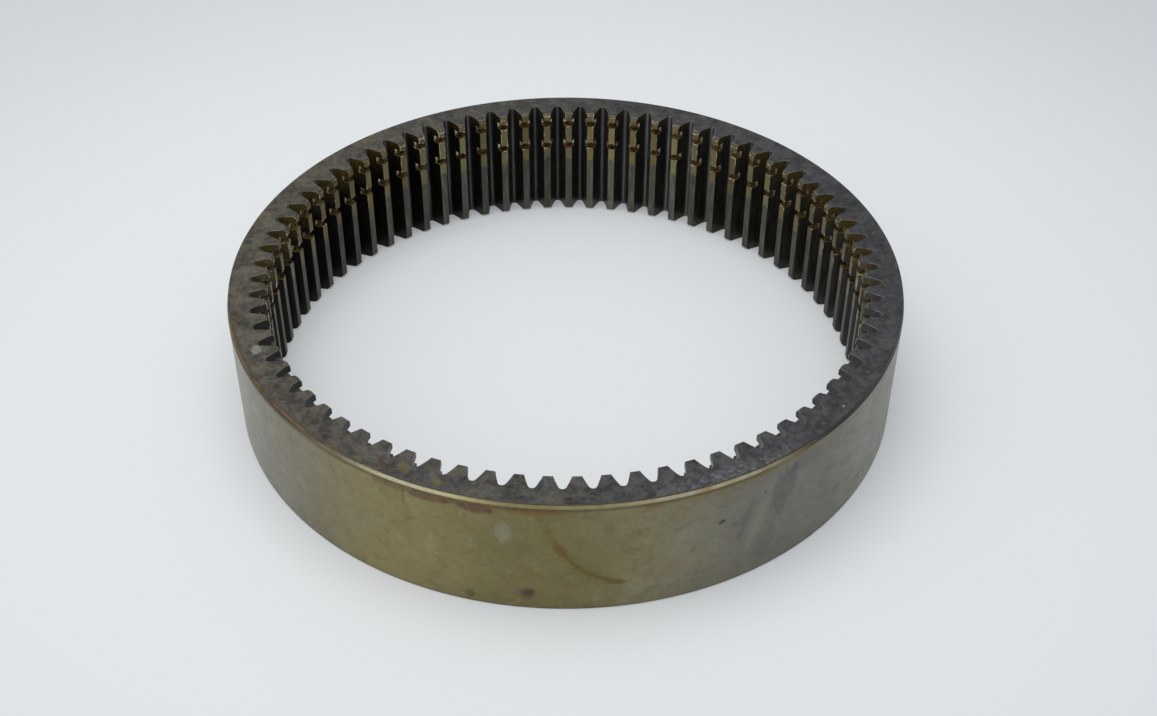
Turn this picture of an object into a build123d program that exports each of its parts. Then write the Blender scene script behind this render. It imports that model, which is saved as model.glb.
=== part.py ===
# Internal ring gear: a steel ring with straight involute teeth all round its bore,
# and two grooves through the tooth tips for retaining rings.
# Origin on the axis, at the middle of the lower end face. +Z runs up the axis.
# All sizes in millimetres and degrees.

from build123d import *
from math import acos, cos, pi, radians, sin, tan
import os

# Teeth
tooth_module = 4.0
tooth_count = 75
pressure_angle = 20.0
addendum = 4.0              # pitch circle to the tooth tips, inwards
dedendum = 5.0              # pitch circle to the roots, outwards
root_rounding = 0.88        # depth of the rounded root, beyond the end of the flanks
cutter_overrun = 2.0        # how far a tooth space runs on past the tips, into the bore

# Ring
face_width = 64.0
rim_thickness = 10.0        # solid metal behind the roots

# Outside edges: a long lead-in above, for pressing into a housing, and an edge break below
outer_lead_length = 2.5
outer_lead_depth = 0.55
lower_edge_break = 0.5

# Bevels where the tooth tips meet the end faces
upper_bevel_length = 1.4
upper_bevel_angle = 45.0
lower_bevel_length = 1.6
lower_bevel_angle = 45.0

# Retaining ring grooves through the tooth tips
groove_width = 3.6
groove_depth = 3.8
upper_land = 4.4            # top face to the first groove
middle_land = 10.4          # first groove to the second

# Radii of the gear's circles
pitch_radius = tooth_module * tooth_count / 2
base_radius = pitch_radius * cos(radians(pressure_angle))
tip_radius = pitch_radius - addendum
root_radius = pitch_radius + dedendum
outer_radius = root_radius + rim_thickness
flank_start_radius = max(base_radius, tip_radius - cutter_overrun)
flank_end_radius = root_radius - root_rounding

# Heights of the grooves' lower walls
first_groove_height = face_width - upper_land - groove_width
second_groove_height = first_groove_height - middle_land - groove_width


def involute_function(angle):
    """tan(a) - a, the polar angle that an involute has turned through."""
    return tan(angle) - angle


def flank_place(radius, side):
    """Point and direction of a flank of the tooth space on the X axis. side is 1 or -1."""
    tilt = acos(base_radius / radius)
    at_pitch = involute_function(radians(pressure_angle))
    polar = pi / (2 * tooth_count) + at_pitch - involute_function(tilt)
    point = Vector(radius * cos(polar), side * radius * sin(polar))
    direction = Vector(cos(polar - tilt), side * sin(polar - tilt))
    return point, direction


def involute_flank(side):
    """The flank as one curve between the involute's two ends, along its own directions there."""
    start, start_direction = flank_place(flank_start_radius, side)
    end, end_direction = flank_place(flank_end_radius, side)
    turn = start_direction.cross(end_direction).Z
    reach = (end - start).cross(end_direction).Z / turn
    return Bezier(start, start + start_direction * reach, end)


def bore(radius):
    """Bore with one flat to each tooth tip, which over a tip's width is round within 0.02."""
    return RegularPolygon(radius, tooth_count, major_radius=False)


# One tooth space, open towards the axis
with BuildSketch() as tooth_space:
    with BuildLine():
        upper_flank = involute_flank(1)
        lower_flank = involute_flank(-1)
        ThreePointArc(upper_flank @ 1, (root_radius, 0), lower_flank @ 1)
        mouth_x = (upper_flank @ 0).X - cutter_overrun
        Polyline(
            upper_flank @ 0,
            (mouth_x, (upper_flank @ 0).Y),
            (mouth_x, (lower_flank @ 0).Y),
            lower_flank @ 0,
        )
    make_face()

# All that is cut from the middle of the ring, seen from its end
with BuildSketch() as toothed_bore:
    bore(tip_radius)
    with PolarLocations(0, tooth_count):
        add(tooth_space.sketch)

with BuildPart() as ring_gear:
    # Turned ring, with its lead-in and edge break
    with BuildSketch():
        Circle(outer_radius)
    extrude(amount=face_width)
    upper_face = ring_gear.faces().sort_by(Axis.Z)[-1]
    chamfer(
        upper_face.outer_wire().edges(),
        length=outer_lead_depth,
        length2=outer_lead_length,
        reference=upper_face,
    )
    lower_face = ring_gear.faces().sort_by(Axis.Z)[0]
    chamfer(lower_face.outer_wire().edges(), length=lower_edge_break)

    # Teeth, shaped through the full width
    add(toothed_bore.sketch)
    extrude(amount=face_width, mode=Mode.SUBTRACT)

    # Bevels at the two ends of the tooth tips, each cut inwards from its end face
    with BuildSketch(-Plane.XY.offset(face_width)):
        bore(tip_radius + upper_bevel_length * tan(radians(upper_bevel_angle)))
    extrude(amount=upper_bevel_length, taper=upper_bevel_angle, mode=Mode.SUBTRACT)
    with BuildSketch():
        bore(tip_radius + lower_bevel_length * tan(radians(lower_bevel_angle)))
    extrude(amount=lower_bevel_length, taper=lower_bevel_angle, mode=Mode.SUBTRACT)

    # Retaining ring grooves
    for groove_height in (first_groove_height, second_groove_height):
        with BuildSketch(Plane.XY.offset(groove_height)):
            bore(tip_radius + groove_depth)
        extrude(amount=groove_width, mode=Mode.SUBTRACT)

ring_gear.part.label = "ring_gear"

os.makedirs("parts", exist_ok=True)
export_step(ring_gear.part, "parts/ring_gear.step")
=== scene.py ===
import bmesh
import bpy
import random
from math import acos, atan2, cos, hypot, pi, radians, sin, tan
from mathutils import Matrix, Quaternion, Vector


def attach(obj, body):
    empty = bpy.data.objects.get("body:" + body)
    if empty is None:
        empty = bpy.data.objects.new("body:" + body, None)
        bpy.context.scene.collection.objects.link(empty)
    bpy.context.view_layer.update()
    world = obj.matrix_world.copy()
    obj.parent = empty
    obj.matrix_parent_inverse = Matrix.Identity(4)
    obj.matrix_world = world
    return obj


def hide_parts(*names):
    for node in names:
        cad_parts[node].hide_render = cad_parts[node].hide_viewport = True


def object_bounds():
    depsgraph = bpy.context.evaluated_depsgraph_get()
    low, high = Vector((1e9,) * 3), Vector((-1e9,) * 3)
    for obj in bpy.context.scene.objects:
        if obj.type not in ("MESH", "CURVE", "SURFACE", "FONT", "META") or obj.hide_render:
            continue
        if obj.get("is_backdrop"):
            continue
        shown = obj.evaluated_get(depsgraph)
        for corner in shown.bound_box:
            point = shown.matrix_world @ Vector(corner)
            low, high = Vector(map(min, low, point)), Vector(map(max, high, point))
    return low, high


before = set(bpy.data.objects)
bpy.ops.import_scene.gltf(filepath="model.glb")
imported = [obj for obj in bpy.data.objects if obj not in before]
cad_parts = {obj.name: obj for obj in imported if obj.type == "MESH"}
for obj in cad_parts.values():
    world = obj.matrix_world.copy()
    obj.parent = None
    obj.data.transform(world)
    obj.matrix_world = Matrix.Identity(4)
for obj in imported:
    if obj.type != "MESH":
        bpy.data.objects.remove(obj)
cad_low, cad_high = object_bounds()

# The ring: one piece of steel, turned to size and then toothed on a gear shaper. Its mesh is laid
# out as one tooth pitch, from the middle of a root round to the next, and repeated all round.
mm = 0.001
outer_radius = cad_high.x
face_width = cad_high.z
tooth_count = 75
pitch_angle = 2 * pi / tooth_count
tooth_module = 4.0 * mm
addendum = 4.0 * mm
pressure_angle = radians(20)
pitch_radius = tooth_module * tooth_count / 2
base_radius = pitch_radius * cos(pressure_angle)
tip_radius = pitch_radius - addendum
rim_thickness = 10.0 * mm
root_radius = outer_radius - rim_thickness
root_rounding = 0.88 * mm
flank_end_radius = root_radius - root_rounding
root_steps = 8
tooth_steps = 4

ring = bmesh.new()
surface_number = ring.faces.layers.int.new("surface")
surfaces = []
finishes = []


def involute_function(angle):
    """tan(a) - a, the polar angle that an involute has turned through."""
    return tan(angle) - angle


def half_space(radius):
    """Half the angle that a tooth space takes up at this radius."""
    tilt = acos(base_radius / radius)
    return pi / (2 * tooth_count) + involute_function(pressure_angle) - involute_function(tilt)


def root_arc():
    """Radius and angle of the points along the rounded root, from flank to flank."""
    half = half_space(flank_end_radius)
    end_x, end_y = flank_end_radius * cos(half), flank_end_radius * sin(half)
    centre = (root_radius ** 2 - flank_end_radius ** 2) / (2 * (root_radius - end_x))
    arc_radius = root_radius - centre
    arc_end = atan2(end_y, end_x - centre)
    points = []
    for step in range(root_steps + 1):
        along = arc_end * (2 * step / root_steps - 1)
        x, y = centre + arc_radius * cos(along), arc_radius * sin(along)
        points.append((hypot(x, y), atan2(y, x)))
    return points


def across_tooth(radius):
    """Radius and angle of the points across a tooth, from the flank of one space to the next."""
    start = half_space(radius)
    wide = pitch_angle - 2 * start
    return [(radius, start + wide * step / tooth_steps) for step in range(tooth_steps + 1)]


def lay(surface, finish, rows):
    """Adds one surface: rows of (radius, angle, height), repeated at each tooth pitch."""
    if finish not in finishes:
        finishes.append(finish)
    surfaces.append(surface)
    for tooth in range(tooth_count):
        turned = tooth * pitch_angle
        grid = [
            [ring.verts.new((r * cos(a + turned), r * sin(a + turned), z)) for r, a, z in row]
            for row in rows
        ]
        for upper, lower in zip(grid, grid[1:]):
            for column in range(len(upper) - 1):
                face = ring.faces.new(
                    (upper[column], upper[column + 1], lower[column + 1], lower[column])
                )
                face[surface_number] = len(surfaces)
                face.material_index = finishes.index(finish)
                face.smooth = True


root_line = root_arc() + across_tooth(flank_end_radius)[1:]


def around(radius, height):
    """A row of points round the outside, in line with those of the roots."""
    return [(radius, angle, height) for _, angle in root_line]


# Outer wall: turned smooth, and oxidised olive brown under a thin dry oil film that turns grey at
# both sides. Rust, a drip of oil, smudges and stains from handling and storage lie on it.
class Field:
    """A value, colour or vector that varies over a surface. Sums on values add Math nodes."""

    def __init__(self, tree, socket):
        self.tree = tree
        self.socket = socket

    def node(self, kind, settings, inputs, output=0):
        """Adds a node: its settings first, then the values or links of its sockets."""
        made = self.tree.nodes.new("ShaderNode" + kind)
        for name, value in settings.items():
            setattr(made, name, value)
        for name, value in inputs.items():
            if isinstance(value, Field):
                self.tree.links.new(value.socket, made.inputs[name])
            else:
                made.inputs[name].default_value = value
        return Field(self.tree, made.outputs[output])

    def math(self, operation, *values):
        return self.node("Math", {"operation": operation}, dict(enumerate(values)))

    def __add__(self, other):
        return self.math("ADD", self, other)

    def __sub__(self, other):
        return self.math("SUBTRACT", self, other)

    def __rsub__(self, other):
        return self.math("SUBTRACT", other, self)

    def __mul__(self, other):
        return self.math("MULTIPLY", self, other)

    def __truediv__(self, other):
        return self.math("DIVIDE", self, other)

    def __neg__(self):
        return self.math("MULTIPLY", self, -1)

    def __abs__(self):
        return self.math("ABSOLUTE", self)

    __radd__ = __add__
    __rmul__ = __mul__

    def ramp(self, low, high):
        """0 below low and 1 above high, or the other way round, with a soft change between."""
        return self.node(
            "MapRange",
            {"interpolation_type": "SMOOTHSTEP"},
            {"Value": self, "From Min": low, "From Max": high},
        )

    def near(self, middle, core, reach):
        """1 within core of the middle, and 0 further from it than reach."""
        return abs(self - middle).ramp(reach, core)

    def blend(self, colour, other):
        """The first colour where this value is 0 and the other where it is 1."""
        return self.node("Mix", {"data_type": "RGBA"}, {0: self, 6: colour, 7: other}, 2)

    def shade(self, amount):
        """This colour, made darker or lighter by a factor."""
        return self.node("VectorMath", {"operation": "SCALE"}, {0: self, "Scale": amount})

    def part(self, axis):
        """The x, y or z of this place."""
        return self.node("SeparateXYZ", {}, {0: self}, axis)

    def along(self, direction):
        """How far this place lies along a direction."""
        return self.node("VectorMath", {"operation": "DOT_PRODUCT"}, {0: self, 1: direction}, 1)

    def from_axis(self):
        """Distance of this place from the ring's axis."""
        flat = self.node("VectorMath", {"operation": "MULTIPLY"}, {0: self, 1: (1, 1, 0)})
        return flat.node("VectorMath", {"operation": "LENGTH"}, {0: flat}, 1)

    def from_front(self):
        """Millimetres round the outside from the front, at -Y, and more than 0 towards +X."""
        return self.math("ARCTAN2", self.part(0), -self.part(1)) * (outer_radius / mm)

    def cloud(self, size, seed, detail=3.0, rough=0.55, squeeze=(1, 1, 1)):
        """Soft uneven patches about so many millimetres across. squeeze makes them narrower."""
        scaled = self.node(
            "VectorMath",
            {"operation": "MULTIPLY_ADD"},
            {0: self, 1: [s / size for s in squeeze], 2: (seed, 1.7 * seed, -0.6 * seed)},
        )
        return self.node(
            "TexNoise", {}, {"Vector": scaled, "Scale": 1.0, "Detail": detail, "Roughness": rough}
        )


def tone(red, green, blue):
    """A colour from its display values, 0 to 255."""
    return tuple(
        (c / 255 / 12.92 if c <= 10 else ((c / 255 + 0.055) / 1.055) ** 2.4)
        for c in (red, green, blue)
    ) + (1.0,)


def new_finish(name, **uniform):
    """A new material with the settings that are the same all over, and the place on it in mm."""
    material = bpy.data.materials.new(name)
    material.use_nodes = True
    shader = material.node_tree.nodes["Principled BSDF"]
    for socket, value in uniform.items():
        shader.inputs[socket.replace("_", " ")].default_value = value
    here = Field(material.node_tree, None).node("TexCoord", {}, {}, "Object")
    return material, here.node("VectorMath", {"operation": "SCALE"}, {0: here, "Scale": 1 / mm})


def finish_with(material, depth=None, **varying):
    """Links what varies over a material to its shader, with a height in mm as bump."""
    shader = material.node_tree.nodes["Principled BSDF"]
    if depth is not None:
        varying["Normal"] = depth.node(
            "Bump", {}, {"Strength": 1.0, "Distance": mm, "Height": depth}
        )
    for socket, value in varying.items():
        material.node_tree.links.new(value.socket, shader.inputs[socket.replace("_", " ")])


def mark(across, up, middle, half_size, ragged, lean=0.0):
    """A soft mark, 1 in its middle and 0 outside. lean is how far its top leans across per mm."""
    sideways = (across - middle[0] - (up - middle[1]) * lean) / half_size[0]
    upwards = (up - middle[1]) / half_size[1]
    return (sideways * sideways + upwards * upwards + ragged).ramp(1.25, 0.3)


def marks(across, up, *each):
    """Several marks as one, each with its strength and then its middle and so on, as in mark."""
    return sum(mark(across, up, *rest) * strength for strength, *rest in each)


lower_edge_break = 0.5 * mm
outer_lead_length = 2.5 * mm
outer_lead_depth = 0.55 * mm
lead_foot = (face_width - outer_lead_length) / mm

wall_finish, here = new_finish("outer wall", IOR=1.5)
height = here.part(2)
front = here.from_front()
ragged = here.cloud(3.2, 7, 4.0, 0.65) * 1.8 - 0.9
torn = here.cloud(6, 8, 5.0, 0.72, (1, 1, 0.35)) * 4.6 - 2.3

# The film: most yellow a little left of the front, and grey at both sides
greyed = (front + here.cloud(30, 3) * 50).ramp(15, 135) + (front + here.cloud(30, 4) * 50).ramp(-55, -162)
film = greyed.blend(tone(128, 119, 80), tone(132, 131, 122))
patchy = here.cloud(7, 11, 6.0, 0.68).ramp(0.5, 0.66)
film = (patchy * 0.34).blend(film, tone(124, 102, 66))
paler = here.cloud(8, 12, 6.0, 0.66).ramp(0.54, 0.7)
film = (paler * 0.36).blend(film, tone(140, 144, 122))
pinkish = here.cloud(8, 13, 4.0, 0.6, (1, 1, 3)).ramp(0.5, 0.7) * front.ramp(-90, -170)
film = (pinkish * 0.35).blend(film, tone(160, 138, 130))
depth_of_tone = here.cloud(22, 14, 4.0, 0.6) * 0.42 + here.cloud(2.6, 15, 5.0, 0.72) * 0.42 + 0.58
film = film.shade(depth_of_tone)
darker = front.near(-17, 10, 50) * 0.2 + front.near(106, 22, 58) * 0.2 + front.near(-148, 18, 60) * 0.17
film = film.shade(1 - darker)

# Faint crooked strokes left by hands and rags
strokes = here.cloud(16, 20, 1.5, 0.5, (1, 1, 1.5)).near(0.5, 0.002, 0.05)
strokes = strokes * here.cloud(12, 21).ramp(0.44, 0.64)
long_strokes = here.cloud(21, 22, 1.5, 0.5).near(0.45, 0.002, 0.045)
strokes = strokes + long_strokes * here.cloud(10, 23).ramp(0.46, 0.66)
film = (strokes * 0.26).blend(film, tone(84, 78, 60))

# Fine slanting streaks from wiping, on the right
wiped = Vector((cos(radians(45)), sin(radians(45)), 0))
streak_fall = 0.45
streak_run = here.along(wiped - Vector((0, 0, streak_fall)))
streak_over = here.along(wiped * streak_fall + Vector((0, 0, 1)))
streak_place = here.node("CombineXYZ", {}, {0: streak_run, 1: streak_over * 7})
streaks = streak_place.cloud(16, 16, 5.0, 0.7)
film = film.shade(1.17 - front.near(130, 70, 170) * 0.21)
film = film.shade(1 - (streaks - 0.5) * front.near(165, 30, 75) * 0.8)

# Stains, each at its place from the front and its height, and a painted shadow along the foot
rust = marks(
    front,
    height,
    (0.9, (-62, 58.8), (11, 2.7), ragged),
    (1.0, (-40, 58.2), (8.2, 2.9), ragged),
    (0.7, (-50, 59.4), (6, 1.8), ragged),
    (0.6, (-34, 58.0), (1.8, 1.6), ragged * 0.4),
    (0.6, (-80, 59.2), (11, 2.0), ragged),
    (0.5, (-105, 60.3), (19, 1.0), ragged),
    (0.75, (-19, 9.2), (3.9, 4.6), ragged * 0.35),
)
spot_middle = mark(front, height, (-18.2, 10.2), (3.0, 2.2), ragged * 0.5, 0.4)
film = (rust * 0.78).blend(film, tone(90, 54, 40))
film = (spot_middle * 0.6).blend(film, tone(62, 42, 34))
browned = marks(
    front,
    height,
    (0.7, (-18, 59.7), (18, 2.2), ragged),
    (0.6, (35.8, 59.8), (4.2, 1.9), ragged),
    (0.5, (86, 60.2), (6, 1.8), ragged),
    (0.8, (-4.8, 37.5), (3.0, 4.6), torn, -0.3),
    (0.8, (20.5, 15.8), (5.0, 1.3), ragged),
)
freckled = here.cloud(5, 24, 5.0, 0.7).ramp(0.54, 0.68) * height.ramp(30, 58)
browned = browned + freckled * front.near(-75, 25, 60) * 0.35
film = (browned * 0.7).blend(film, tone(116, 80, 38))
drip_fall = (front + 4.6) / -13
drip_line = 13 + drip_fall.math("EXPONENT", drip_fall) * 25
above_drip = height - drip_line + ragged * 0.8
drip = above_drip.near(0, 0.3, 2.5) * front.near(8, 12, 17)
drip = drip + above_drip.near(0, 1, 8) * front.near(5, 14, 21) * 0.5
film = (drip * 0.55).blend(film, tone(100, 87, 38))
pale = marks(
    front,
    height,
    (0.6, (-28.8, 46), (3.6, 7), torn * 0.7),
    (0.35, (86.5, 32), (4, 14), torn, 0.3),
    (1.0, (98, 28), (0.8, 0.8), ragged * 0.2),
    (1.0, (23.6, 3.6), (1.4, 0.6), ragged * 0.2),
)
film = (pale * 0.7).blend(film, tone(146, 150, 130))
smudge = marks(
    front,
    height,
    (0.85, (99, 43), (7, 16), torn, 0.3),
    (0.6, (80, 37), (2.6, 12), torn * 0.7, 0.28),
    (0.5, (91, 16), (6, 13), torn, 0.25),
    (0.5, (112, 55), (9, 5), torn),
)
film = (smudge * 0.62).blend(film, tone(82, 85, 86))
golden = (height + ragged * 1.2).ramp(55.5, 61) * front.near(82, 24, 66)
film = (golden * 0.5).blend(film, tone(124, 106, 58))
dark_marks_and_foot_shade = marks(
    front,
    height,
    (1.0, (67.4, 39.9), (1.9, 1.2), ragged * 0.3, 0.6),
    (1.0, (89.3, 48), (0.7, 0.7), ragged * 0.2),
    (0.5, (-44.4, 5), (3, 2.6), ragged),
)
hairline = (front + 72.6 + here.cloud(6, 18) * 1.6).near(0, 0.1, 0.45) * height.near(55, 5.5, 6.5)
dark_marks_and_foot_shade = dark_marks_and_foot_shade + hairline * 0.55
under_lead = (height + ragged * 0.35).near(lead_foot - 0.7, 0.3, 1.4) * front.near(-50, 120, 175)
# Painted shadow: a dark line along the foot of the wall, where it meets the floor
painted_foot_shadow = (height + ragged * 0.3).ramp(1.6, 0.4)
dark_marks_and_foot_shade = dark_marks_and_foot_shade + under_lead * 0.5 + painted_foot_shadow * 0.5
specks = here.cloud(1.3, 19, 2.0, 0.5).ramp(0.7, 0.78)
film = ((dark_marks_and_foot_shade + specks * 0.25) * 0.8).blend(film, tone(60, 48, 32))

turning = here.cloud(1.2, 31, 2.0, 0.7, (0.02, 0.02, 1.0))
finish_with(
    wall_finish,
    Base_Color=film,
    Metallic=(0.82 - rust * 0.5),
    Roughness=(here.cloud(9, 41, 4.0) * 0.22 + turning * 0.08 + rust * 0.15 + 0.27),
    depth=(turning * 0.004 + here.cloud(5, 17, 4.0) * 0.014),
)
lay("outer wall", wall_finish, [
    around(outer_radius, lower_edge_break),
    around(outer_radius, face_width - outer_lead_length),
])

# Lead-in round the top outer edge: a long shallow bevel, turned last. It is rubbed bright across
# the front, where the ring was dragged and handled, with a painted sheen of reflected light on that
# worn strip, and still brown or dark elsewhere.
lead_finish, here = new_finish("outer lead-in", IOR=1.5, Specular_IOR_Level=0.35)
height = here.part(2)
front = here.from_front()
# Wear and painted sheen: a bright strip across the front, partly worn metal and partly a painted reflection
wear_and_sheen = front.near(-66, 10, 42) * 0.54 + front.near(66, 16, 64) * 0.28 + front.near(-12, 62, 138) * 0.4
wear_and_sheen = wear_and_sheen * (here.cloud(5, 51, 4.0, 0.65) * 1.1 + 0.42)
strip = (height + here.cloud(3, 52, 3.0) * 0.5).near(lead_foot + 1.3, 0.55, 1.35)
lead_dark = front.ramp(75, 150).blend(tone(70, 56, 28), tone(24, 24, 24))
lead_worn_sheen = front.near(-16, 25, 60).blend(tone(210, 201, 168), tone(204, 192, 140))
lead_colour = (wear_and_sheen * strip).blend(lead_dark, lead_worn_sheen)
orange = mark(front, height, (58.8, 62.5), (2.8, 1.2), here.cloud(1.5, 53) * 3 - 1.5)
lead_colour = (orange * 0.6).blend(lead_colour, tone(152, 108, 56))
finish_with(
    lead_finish,
    Base_Color=lead_colour,
    Metallic=(wear_and_sheen * 0.5 + 0.35),
    Roughness=(0.5 - wear_and_sheen * 0.22),
    depth=(here.cloud(2.5, 54, 4.0) * 0.03),
)
lay("outer lead-in", lead_finish, [
    around(outer_radius, face_width - outer_lead_length),
    around(outer_radius - outer_lead_depth, face_width),
])

# End faces: turned flat and left dark from hardening, mottled grey and brown, with dried oil at
# the left, pale dust at the right of the front, and a small edge break below.
face_finish, here = new_finish("end faces", IOR=1.5, Specular_IOR_Level=0.32)
radius = here.from_axis()
front = here.from_front()
ragged = here.cloud(2.4, 60, 4.0, 0.65) * 5 - 2.5
mottle = here.cloud(8, 61, 6.0, 0.68)
warm = (here.cloud(6, 62, 6.0, 0.7) + here.along((-1, 0, 0)) / 1300).ramp(0.38, 0.62)
face_colour = warm.blend(tone(62, 63, 67), tone(78, 73, 63))
violet = here.cloud(3.4, 63, 5.0, 0.66).ramp(0.5, 0.68)
face_colour = (violet * 0.55).blend(face_colour, tone(78, 69, 74))
olive = (here.cloud(5, 64, 6.0, 0.7) + here.along((-1, 0.25, 0)) / 1100).ramp(0.56, 0.8)
face_colour = (olive * 0.55).blend(face_colour, tone(90, 83, 57))
greenish = here.cloud(9, 70, 5.0, 0.66).ramp(0.5, 0.64)
face_colour = (greenish * 0.45).blend(face_colour, tone(80, 82, 70))
blotches = mottle.ramp(0.34, 0.66) * 0.84 + here.cloud(2.4, 69, 5.0, 0.72).ramp(0.3, 0.7) * 0.7
face_colour = face_colour.shade(blotches + 0.21)
# Painted light: the face is lighter towards the left front, where the side light stands, and darker towards
# the right back
face_colour = face_colour.shade(here.along((-1, -0.3, 0)) / 1600 + 0.77)
dust = here.cloud(1.8, 65, 4.0, 0.7).ramp(0.45, 0.75) * front.near(72, 14, 50) * radius.ramp(154, 161)
dust = dust * 0.48 + here.cloud(1.1, 66, 2.0, 0.5).ramp(0.68, 0.76) * 0.35
face_colour = dust.blend(face_colour, tone(138, 140, 150))
halo = (radius + ragged * 0.3).ramp(161.8, 163.6) * front.near(-165, 40, 75)
halo = halo + mark(front, radius, (-85, 161.5), (3.2, 4.5), ragged, 0.8) * 0.8
face_colour = (halo * 0.7).blend(face_colour, tone(70, 54, 36))
scuff = marks(
    front,
    radius,
    (0.45, (-192, 156.5), (4, 2.6), ragged),
    (1.0, (143, 160.5), (0.5, 0.65), ragged * 0.1),
)
face_colour = scuff.blend(face_colour, tone(150, 150, 146))
yellowed = marks(
    front,
    radius,
    (1.0, (-76, 158), (4, 3), ragged),
    (1.0, (-59, 160), (3, 2), ragged),
)
face_colour = (yellowed * 0.5).blend(face_colour, tone(104, 92, 50))
finish_with(
    face_finish,
    Base_Color=face_colour,
    Metallic=(mottle * 0.3 + 0.1),
    Roughness=(here.cloud(6, 67, 4.0) * 0.3 + 0.42),
    depth=(here.cloud(1.6, 68, 5.0, 0.7) * 0.06),
)
lay("outer edge break", face_finish, [
    around(outer_radius - lower_edge_break, 0),
    around(outer_radius, lower_edge_break),
])
lay("lower face", face_finish, [
    [(radius, angle, 0) for radius, angle in root_line],
    around(outer_radius - lower_edge_break, 0),
])
lay("upper face", face_finish, [
    [(radius, angle, face_width) for radius, angle in root_line],
    around(outer_radius - outer_lead_depth, face_width),
])

# Teeth: straight involute teeth, shaped through the full width. Their tips are bored to size,
# with a small bevel at each end and two grooves for retaining rings.
groove_width = 3.6 * mm
groove_depth = 3.8 * mm
upper_land = 4.4 * mm
middle_land = 10.4 * mm
upper_bevel_length = 1.4 * mm
upper_bevel_angle = radians(45)
lower_bevel_length = 1.6 * mm
lower_bevel_angle = radians(45)
groove_radius = tip_radius + groove_depth
top_tip_radius = tip_radius + upper_bevel_length * tan(upper_bevel_angle)
bottom_tip_radius = tip_radius + lower_bevel_length * tan(lower_bevel_angle)
first_groove_top = face_width - upper_land
first_groove_foot = first_groove_top - groove_width
second_groove_top = first_groove_foot - middle_land
second_groove_foot = second_groove_top - groove_width
bevel_foot = face_width - upper_bevel_length
tip_steps = 3
flank_steps = 4


def pitches_round(here):
    """How many tooth pitches a place lies round from +X."""
    return here.math("ARCTAN2", here.part(1), here.part(0)) / pitch_angle


def tooth_number(here):
    """A number for each tooth."""
    number = here.math("FLOOR", pitches_round(here))
    return here.math("FLOORED_MODULO", number, tooth_count)


def from_tooth_middle(here):
    """How far a place lies from the middle of its tooth, in mm round the ring."""
    pitches = pitches_round(here)
    return (pitches - here.math("FLOOR", pitches) - 0.5) * pitch_angle * here.from_axis()


def lot(number, seed):
    """A value between 0 and 1 drawn for each tooth."""
    return number.node("TexWhiteNoise", {"noise_dimensions": "1D"}, {"W": number * 1.37 + seed})


# Flanks and roots: dark from hardening, with oil that has run down from the top and dried golden
# at both sides of the back. The roots keep a greyer, smoother line from the cutter.
flank_finish, here = new_finish("tooth flanks", IOR=1.5, Coat_Roughness=0.12)
height = here.part(2)
number = tooth_number(here)
streak = here.cloud(2.4, 72, 4.0, 0.6, (1, 1, 0.12))
oil = (height + here.cloud(6, 71, 4.0) * 14 + lot(number, 3) * 6).ramp(54, 70)
oil = oil * abs(here.part(0)).ramp(70, 135) * here.part(1).ramp(-40, 10)
oil = oil + (height + here.cloud(6, 73, 4.0) * 8).ramp(61, 67) * here.part(1).ramp(60, 120) * 0.4
flank_colour = streak.ramp(0.3, 0.7).blend(tone(34, 34, 32), tone(58, 56, 52))
violet = here.part(1).ramp(40, -40)
flank_colour = (violet * 0.7).blend(flank_colour, tone(62, 59, 61))
oil_colour = (lot(number, 5) * 0.7 + here.cloud(2, 76) * 0.6 - 0.15).blend(tone(98, 75, 20), tone(78, 73, 25))
thick = here.cloud(2.2, 77, 5.0, 0.7).ramp(0.46, 0.6)
oil_colour = (thick * 0.65).blend(oil_colour, tone(42, 38, 14))
# Painted shade: the flanks are lighter towards the right and darker towards the left, and darker again at the
# front
flank_colour = flank_colour.shade(here.part(0).ramp(-90, 140) * 1.15 + 0.38)
flank_colour = flank_colour.shade(1 - here.part(1).ramp(-30, -90) * 0.35)
flank_colour = (oil * 0.85).blend(flank_colour, oil_colour)
finish_with(
    flank_finish,
    Base_Color=flank_colour,
    Metallic=(0.7 - oil * 0.3),
    Roughness=(streak * 0.25 + 0.25),
    Coat_Weight=(oil * 0.5),
    depth=(streak * 0.03 + here.cloud(1.2, 74, 4.0) * 0.02),
)

root_finish, here = new_finish("tooth roots", IOR=1.5)
streak = here.cloud(2.0, 75, 4.0, 0.6, (1, 1, 0.1))
root_colour = streak.ramp(0.3, 0.7).blend(tone(58, 57, 56), tone(86, 85, 84))
# Painted highlight: the roots are lighter a little right of the back, where they catch the light
finish_with(
    root_finish,
    Base_Color=root_colour.shade(here.part(0).near(58, 14, 50) * 0.9 + 1),
    Metallic=(streak * 0.2 + 0.7),
    Roughness=(streak * 0.2 + 0.25),
    depth=(streak * 0.02),
)

# Tooth tips: bored lands, olive and brown under old oil down to a fairly sharp line below the
# second groove, and greyer below it. No two teeth have quite the same tone.
land_finish, here = new_finish("tooth tips", IOR=1.5, Coat_Roughness=0.15)
height = here.part(2)
number = tooth_number(here)
turned_line = height + here.cloud(5, 81) * 3 + lot(number, 7) * 4
upper_part = turned_line.ramp(36.8, 38.6)
grain = here.cloud(2.0, 82, 4.0, 0.6, (1, 1, 0.2))
lower_colour = grain.ramp(0.3, 0.7).blend(tone(70, 69, 62), tone(94, 92, 82))
browner = (here.cloud(5, 83, 5.0, 0.65) * 0.9 + lot(number, 9) * 0.35).ramp(0.45, 0.8)
upper_colour = browner.blend(tone(110, 106, 72), tone(106, 90, 56))
land_colour = upper_part.blend(lower_colour, upper_colour)
topmost = height.ramp(57.5, 60.5)
land_colour = (topmost * 0.7).blend(land_colour, tone(92, 76, 46))
land_colour = land_colour.shade(lot(number, 11) * 0.5 + grain * 0.5 + 0.46)
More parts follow.
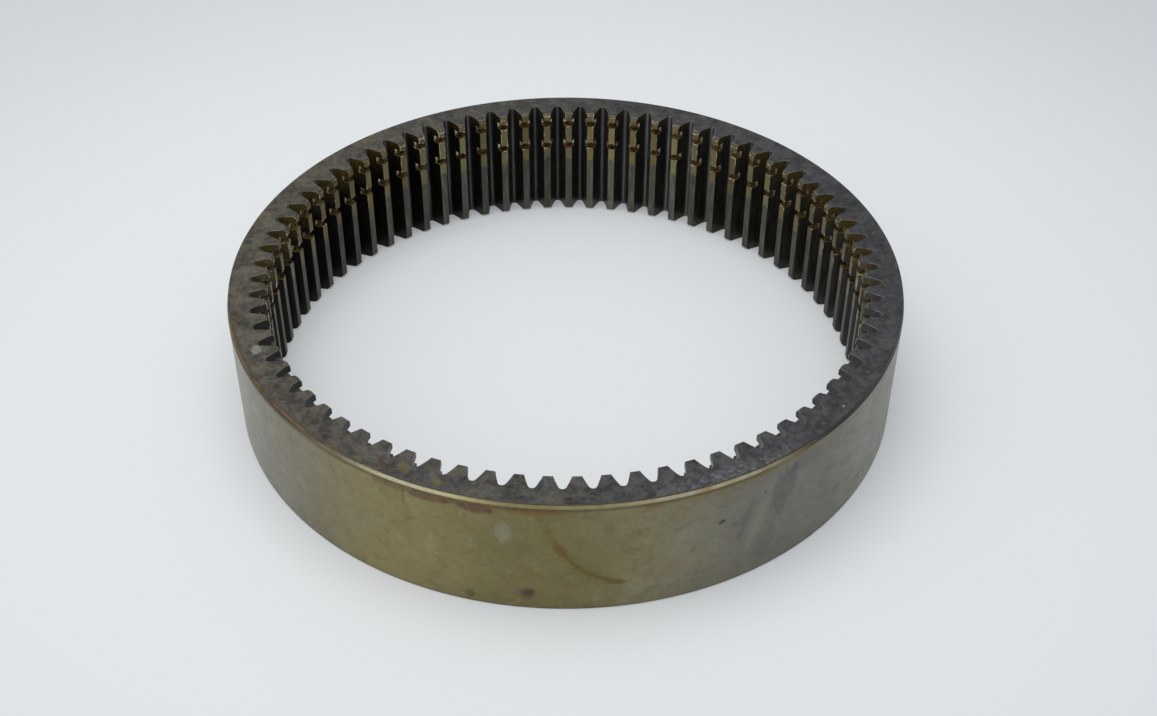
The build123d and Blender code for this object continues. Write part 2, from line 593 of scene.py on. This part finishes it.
# Painted highlight: the tips are lighter a little right of the back, where they catch the light
land_colour = land_colour.shade(here.part(0).near(45, 18, 58) * 0.38 + 0.95)
beveled = height.ramp(bevel_foot / mm - 0.1, bevel_foot / mm + 0.1)
land_colour = (beveled * 0.75).blend(land_colour, tone(60, 50, 32))
glint = here.cloud(1.4, 84, 3.0).ramp(0.56, 0.68) * height.ramp(59.5, 61.5)
land_colour = (glint * 0.6).blend(land_colour, tone(176, 156, 108))
finish_with(
    land_finish,
    Base_Color=land_colour,
    Metallic=(0.78 - beveled * 0.5),
    Roughness=(0.42 - upper_part * 0.08 + grain * 0.12 + beveled * 0.15),
    depth=(grain * 0.02),
)

# Ring grooves: oily and dark brown in the middle, with rust specks, and a painted glint at both
# ends of each floor, where the light catches it, more so on the left of the back.
groove_finish, here = new_finish("grooves", IOR=1.5, Coat_Roughness=0.1)
height = here.part(2)
number = tooth_number(here)
oil = here.cloud(1.6, 91, 4.0).ramp(0.42, 0.58) * here.part(1).ramp(-60, 40)
groove_colour = oil.blend(tone(66, 54, 26), tone(126, 92, 38))
groove_colour = here.cloud(1.3, 92, 3.0).ramp(0.5, 0.62).blend(groove_colour, tone(26, 22, 14))
lip = here.from_axis().near(tip_radius / mm, 0.4, 1.1) * here.cloud(1.6, 94).ramp(0.42, 0.58)
groove_colour = (lip * 0.7).blend(groove_colour, tone(150, 116, 52))
between_grooves = (first_groove_foot + second_groove_top) / 2 / mm
in_second = height.ramp(between_grooves + 0.1, between_grooves - 0.1)
groove_pitch = (first_groove_top - second_groove_top) / mm
below_top = first_groove_top / mm - in_second * groove_pitch - height
on_floor = here.from_axis().ramp(groove_radius / mm - 0.5, groove_radius / mm - 0.1)
# Painted highlight: bright ends of each groove floor, weaker towards the right
painted_end_glint = abs(from_tooth_middle(here)).ramp(1.3, 2.0) * below_top.ramp(3.2, 2.4) * on_floor
painted_end_glint = painted_end_glint * (here.cloud(2.0, 93) + lot(number, 13) * 0.5).ramp(0.45, 0.75)
painted_end_glint = painted_end_glint * (0.9 - here.part(0).ramp(10, 60) * 0.5)
groove_colour = painted_end_glint.blend(groove_colour, tone(216, 198, 162))
finish_with(
    groove_finish,
    Base_Color=groove_colour,
    Metallic=(0.7 - oil * 0.3),
    Roughness=(oil * 0.1 + 0.26),
    Coat_Weight=(0.5 - painted_end_glint * 0.4),
)


def flank_radii(tip):
    """Radii down a flank: from the tip to the groove floors' radius, and on to the root."""
    shallow = [tip + (groove_radius - tip) * step / tip_steps for step in range(tip_steps)]
    deep = flank_end_radius - groove_radius
    return shallow + [groove_radius + deep * step / flank_steps for step in range(flank_steps + 1)]


def across(radius, height):
    """One row of points across the tooth."""
    return [(radius, angle, height) for _, angle in across_tooth(radius)]


levels = [
    (0, bottom_tip_radius),
    (lower_bevel_length, tip_radius),
    (second_groove_foot, tip_radius),
    (second_groove_top, tip_radius),
    (first_groove_foot, tip_radius),
    (first_groove_top, tip_radius),
    (bevel_foot, tip_radius),
    (face_width, top_tip_radius),
]
for (low, low_tip), (high, high_tip) in zip(levels, levels[1:]):
    in_groove = high in (first_groove_top, second_groove_top)
    first = tip_steps if in_groove else 0
    for side in (1, -1):
        lay("tooth space", flank_finish, [
            [(r, side * half_space(r), low) for r in flank_radii(low_tip)[first:]],
            [(r, side * half_space(r), high) for r in flank_radii(high_tip)[first:]],
        ])
    lay("tooth space", root_finish, [
        [(r, angle, low) for r, angle in root_arc()],
        [(r, angle, high) for r, angle in root_arc()],
    ])
    if in_groove:
        lay("groove floor", groove_finish, [across(groove_radius, low), across(groove_radius, high)])
        for wall_height in (low, high):
            lay("groove wall", groove_finish, [
                across(radius, wall_height) for radius in flank_radii(tip_radius)[:tip_steps + 1]
            ])
    else:
        lay("tooth tip", land_finish, [across(low_tip, low), across(high_tip, high)])
lay("upper face", face_finish, [across(r, face_width) for r in flank_radii(top_tip_radius)])
lay("lower face", face_finish, [across(r, 0) for r in flank_radii(bottom_tip_radius)])

# Edges: every outward corner is a little rounded by deburring. The top edges of the teeth are
# rubbed grey, and the edges inside are dark, with bright nicks and painted glints here and there,
# and a painted golden glint lies on the outer rim at the left.
edge_rounding = 0.35 * mm
top_edge_share = 0.75
inner_edge_share = 0.6
weld_distance = 0.0005 * mm
least_fold = radians(20)
bevel_spread = 0.5 * mm
bevel_seed = 75
edge_finish, here = new_finish("rubbed edges", IOR=1.5)
height = here.part(2)
front = here.from_front()
number = tooth_number(here)
# Bright rubbed spots and painted glints on the edges, in the upper part of the ring
rubbed_and_glinting = (here.cloud(3, 101, 4.0, 0.6) + lot(number, 17) * 0.2).ramp(0.6, 0.74) * height.ramp(30, 45)
edge_colour = rubbed_and_glinting.blend(tone(74, 70, 56), tone(206, 198, 170))
on_top = height.ramp(face_width / mm - 0.45, face_width / mm - 0.25)
top_colour = here.cloud(4, 102, 4.0).ramp(0.35, 0.65).blend(tone(56, 55, 54), tone(104, 102, 97))
rim_edge = (outer_radius - outer_lead_depth) / mm
outermost = here.from_axis().ramp(rim_edge - 1.25, rim_edge - 0.55)
top_colour = outermost.blend(top_colour, tone(58, 55, 48))
# Painted highlight: a golden glint on the outer rim at the left
painted_gold_glint = outermost * front.near(-170, 60, 110) * here.cloud(7, 103).ramp(0.35, 0.6)
top_colour = painted_gold_glint.blend(top_colour, tone(128, 100, 52))
edge_colour = on_top.blend(edge_colour, top_colour)
finish_with(
    edge_finish,
    Base_Color=edge_colour,
    Metallic=(rubbed_and_glinting * 0.3 + 0.5),
    Roughness=(0.45 - rubbed_and_glinting * 0.15),
)
finishes.append(edge_finish)

bmesh.ops.remove_doubles(ring, verts=ring.verts, dist=weld_distance)
bmesh.ops.recalc_face_normals(ring, faces=ring.faces)
rounding = ring.edges.layers.float.new("bevel_weight_edge")
for edge in ring.edges:
    one, other = (surfaces[face[surface_number] - 1] for face in edge.link_faces)
    folded = one == other == "tooth tip" and edge.calc_face_angle() > least_fold
    if one != other or folded:
        edge.smooth = False
        if edge.is_convex and {one, other} != {"outer wall", "outer lead-in"}:
            at_top = min(corner.co.z for corner in edge.verts) > bevel_foot
            edge[rounding] = top_edge_share if at_top else inner_edge_share

# The bevels at the tips' upper ends were filed by hand, so some are longer than others
draw = random.Random(bevel_seed)
bevel_drop = [draw.uniform(0, bevel_spread) for _ in range(tooth_count)]
for corner in ring.verts:
    at_foot = abs(corner.co.z - bevel_foot) < weld_distance
    if at_foot and abs(hypot(corner.co.x, corner.co.y) - tip_radius) < weld_distance * 10:
        tooth = int(atan2(corner.co.y, corner.co.x) / pitch_angle % tooth_count)
        corner.co.z -= bevel_drop[tooth]

ring_mesh = bpy.data.meshes.new("ring_gear_steel")
ring.to_mesh(ring_mesh)
ring.free()
for finish in finishes:
    ring_mesh.materials.append(finish)
ring_piece = bpy.data.objects.new("ring_gear_steel", ring_mesh)
bpy.context.scene.collection.objects.link(ring_piece)
rounded = ring_piece.modifiers.new("rounded edges", "BEVEL")
rounded.limit_method = "WEIGHT"
rounded.width = edge_rounding
rounded.segments = 2
rounded.harden_normals = True
rounded.material = finishes.index(edge_finish)
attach(ring_piece, "root")
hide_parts("ring_gear")

# Floor: a plain pale sheet that the ring presses into by a hair. It glows a little as painted
# light, so that the ring's shadow on it stays slight, and this painted glow fades away from the ring.
floor_half = 8.0
floor_height = 0.02 * mm
floor_glow = 0.145
floor_mesh = bpy.data.meshes.new("floor")
floor_corners = [(-1, -1), (1, -1), (1, 1), (-1, 1)]
floor_mesh.from_pydata(
    [(x * floor_half, y * floor_half, floor_height) for x, y in floor_corners], [], [(0, 1, 2, 3)]
)
floor = bpy.data.objects.new("floor", floor_mesh)
bpy.context.scene.collection.objects.link(floor)
floor_finish, here = new_finish(
    "floor",
    Roughness=0.7,
    Specular_IOR_Level=0.2,
    Base_Color=(0.565, 0.575, 0.585, 1.0),
    Emission_Strength=floor_glow,
)
faded = here.node("VectorMath", {"operation": "ADD"}, {0: here, 1: (-10, -50, 0)})
faded = faded.from_axis().ramp(150, 600)
finish_with(
    floor_finish, Emission_Color=faded.blend((0.95, 0.985, 1.0, 1.0), (0.02, 0.05, 0.06, 1.0))
)
floor_mesh.materials.append(floor_finish)
floor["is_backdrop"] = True

# Light: the soft light of a photo tent. An even pale sky stands for its walls, with one large
# lamp above the ring and a weaker one behind the left wall.
scene = bpy.context.scene
scene.view_settings.view_transform = "Standard"
sky_strength = 0.62
sky = bpy.data.worlds.new("sky")
sky.use_nodes = True
sky.node_tree.nodes["Background"].inputs["Color"].default_value = (0.93, 0.97, 1.0, 1.0)
sky.node_tree.nodes["Background"].inputs["Strength"].default_value = sky_strength
scene.world = sky


def soft_light(name, place, target, size, power):
    """A square soft light at a place, turned to its target."""
    light = bpy.data.lights.new(name, "AREA")
    light.shape = "SQUARE"
    light.size = size
    light.energy = power
    lamp = bpy.data.objects.new(name, light)
    lamp.location = place
    lamp.rotation_mode = "QUATERNION"
    lamp.rotation_quaternion = (Vector(target) - Vector(place)).to_track_quat("-Z", "Y")
    scene.collection.objects.link(lamp)


soft_light("overhead light", (-0.15, -0.15, 1.6), (0, 0, 0), 1.4, 16.4)
soft_light("side light", (-1.5, -0.7, 0.9), (0, 0, 0), 1.6, 6.0)

# Camera: on a stand in front of the ring, looking down at it by about 40 degrees through a
# slightly long lens, and leaning by a third of a degree.
lens_length = 50.26
camera_place = Vector((-0.00672, -0.64133, 0.53802))
camera_target = Vector((0.00493, -0.06908, 0.064))
camera_roll = radians(0.31)
camera = bpy.data.objects.new("camera", bpy.data.cameras.new("camera"))
camera.data.sensor_width = 36.0
camera.data.lens = lens_length
camera.location = camera_place
camera.rotation_mode = "QUATERNION"
aimed = (camera_target - camera_place).to_track_quat("-Z", "Y")
camera.rotation_quaternion = aimed @ Quaternion((0, 0, 1), camera_roll)
camera.data.clip_start = 0.01
camera.data.clip_end = 50.0
scene.collection.objects.link(camera)
scene.camera = camera

low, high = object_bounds()
